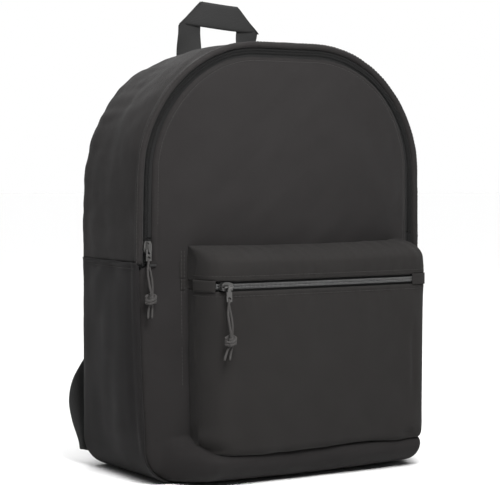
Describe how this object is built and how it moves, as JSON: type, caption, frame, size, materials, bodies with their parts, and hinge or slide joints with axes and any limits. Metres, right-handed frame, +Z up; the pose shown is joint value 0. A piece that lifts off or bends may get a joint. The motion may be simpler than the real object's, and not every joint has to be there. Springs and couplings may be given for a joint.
{
  "type": "school backpack",
  "caption": "Arched zip backpack with an opening front flap, a zipped bellows front pocket, a webbing grab handle and padded shoulder straps.",
  "frame": {"origin": "centre of the base's flat resting face: middle of the width, and middle of the depth with the straps", "axes": "+Z up the height, front (pocket side) towards -Y, straps towards +Y, wearer's left and right straps at -X and +X as seen from the front"},
  "size_m": [0.3114, 0.2384, 0.45],
  "materials": {
    "body_cloth": "plain-woven polyester with a matt coating",
    "base_cloth": "plain-woven polyester with a matt coating",
    "pocket_cloth": "plain-woven polyester with a matt coating",
    "mesh_lining": "knitted spacer mesh",
    "inner_lining": "thin smooth lining",
    "foam": "closed-cell foam",
    "binding": "woven edge binding",
    "zip_tape": "woven zip tape",
    "zip_coil": "nylon coil",
    "zip_stop": "sewn end stop",
    "slider_metal": "dark lacquered zinc",
    "cord": "round braided cord",
    "webbing": "ribbed polypropylene webbing",
    "strap_cloth": "plain-woven polyester with a matt coating",
    "buckle_plastic": "fine-grained moulded acetal"
  },
  "bodies": {
    "root": {"front_panel": "body_cloth", "left_side_panel": "body_cloth", "right_side_panel": "body_cloth", "base_panel": "base_cloth", "top_band": "body_cloth", "back_panel": "mesh_lining", "back_foam": "foam", "back_lining": "inner_lining", "front_seam_binding": "binding", "back_seam_binding": "binding", "yoke_patch": "body_cloth", "pocket_front": "pocket_cloth", "pocket_top": "pocket_cloth", "pocket_left_gusset": "pocket_cloth", "pocket_right_gusset": "pocket_cloth", "pocket_tape_upper": "zip_tape", "pocket_tape_lower": "zip_tape", "pocket_coil_upper": "zip_coil", "pocket_coil_lower": "zip_coil", "pocket_zip_ends": "pocket_cloth", "band_zip_tape": "zip_tape", "band_zip_coil": "zip_coil", "band_zip_stops": "zip_stop", "panel_zip_tape": "zip_tape", "panel_zip_coil": "zip_coil", "left_strap_base": "strap_cloth", "left_anchor_tab": "strap_cloth", "right_strap_base": "strap_cloth", "right_anchor_tab": "strap_cloth"},
    "front_flap": {"front_flap": "body_cloth", "flap_zip_tape": "zip_tape", "flap_zip_coil": "zip_coil"},
    "main_slider": {"main_slider": "slider_metal"},
    "main_tab": {"main_pull_tab": "slider_metal"},
    "main_cord": {"main_pull_cord": "cord", "main_cord_knot": "cord"},
    "pocket_slider": {"pocket_slider": "slider_metal"},
    "pocket_tab": {"pocket_pull_tab": "slider_metal"},
    "pocket_cord": {"pocket_pull_cord": "cord", "pocket_cord_knot": "cord"},
    "handle": {"grab_handle": "webbing"},
    "left_strap": {"left_strap_cover": "strap_cloth", "left_strap_foam": "foam", "left_strap_lining": "mesh_lining", "left_lock_loop": "webbing", "left_ladder_lock": "buckle_plastic", "left_lower_webbing": "webbing"},
    "left_tail": {"left_webbing_tail": "webbing"},
    "right_strap": {"right_strap_cover": "strap_cloth", "right_strap_foam": "foam", "right_strap_lining": "mesh_lining", "right_lock_loop": "webbing", "right_ladder_lock": "buckle_plastic", "right_lower_webbing": "webbing"},
    "right_tail": {"right_webbing_tail": "webbing"}
  },
  "joints": [
    {"name": "front_flap_open", "type": "hinge", "parent": "root", "child": "front_flap", "pos_m": [0, -0.0778, 0.222], "axis": [1, 0, 0], "range_deg": [0, 105]},
    {"name": "main_slider_travel", "type": "slide", "parent": "root", "child": "main_slider", "axis": [0, 0, 1], "range_m": [0, 0.066]},
    {"name": "main_tab_tilt", "type": "hinge", "parent": "main_slider", "child": "main_tab", "pos_m": [-0.1424, -0.0616, 0.21195], "axis": [-1, 0, 0], "range_deg": [0, 115]},
    {"name": "main_cord_swing", "type": "hinge", "parent": "main_tab", "child": "main_cord", "pos_m": [-0.1424, -0.0616, 0.20455], "axis": [0, 1, 0], "range_deg": [-12, 60]},
    {"name": "pocket_slider_travel", "type": "slide", "parent": "root", "child": "pocket_slider", "axis": [1, 0, 0], "range_m": [0, 0.194]},
    {"name": "pocket_tab_tilt", "type": "hinge", "parent": "pocket_slider", "child": "pocket_tab", "pos_m": [-0.097, -0.1146, 0.18], "axis": [-1, 0, 0], "range_deg": [0, 165]},
    {"name": "pocket_cord_swing", "type": "hinge", "parent": "pocket_tab", "child": "pocket_cord", "pos_m": [-0.097, -0.1146, 0.1696], "axis": [0, -1, 0], "range_deg": [-60, 60]},
    {"name": "handle_flop", "type": "hinge", "parent": "root", "child": "handle", "pos_m": [0, 0.0672, 0.4022], "axis": [1, 0, 0], "range_deg": [-80, 80]},
    {"name": "left_strap_swing", "type": "hinge", "parent": "root", "child": "left_strap", "pos_m": [-0.05, 0.0752, 0.372], "axis": [0.2348, 0.0093, 0.972], "range_deg": [-20, 20]},
    {"name": "left_tail_swing", "type": "hinge", "parent": "left_strap", "child": "left_tail", "pos_m": [-0.10018, 0.10487, 0.13294], "axis": [0.9703, -0.0253, -0.2406], "range_deg": [0, 75]},
    {"name": "right_strap_swing", "type": "hinge", "parent": "root", "child": "right_strap", "pos_m": [0.05, 0.0752, 0.372], "axis": [-0.2348, 0.0093, 0.972], "range_deg": [-20, 20]},
    {"name": "right_tail_swing", "type": "hinge", "parent": "right_strap", "child": "right_tail", "pos_m": [0.10018, 0.10487, 0.13294], "axis": [0.9703, 0.0253, 0.2406], "range_deg": [0, 75]}
  ]
}
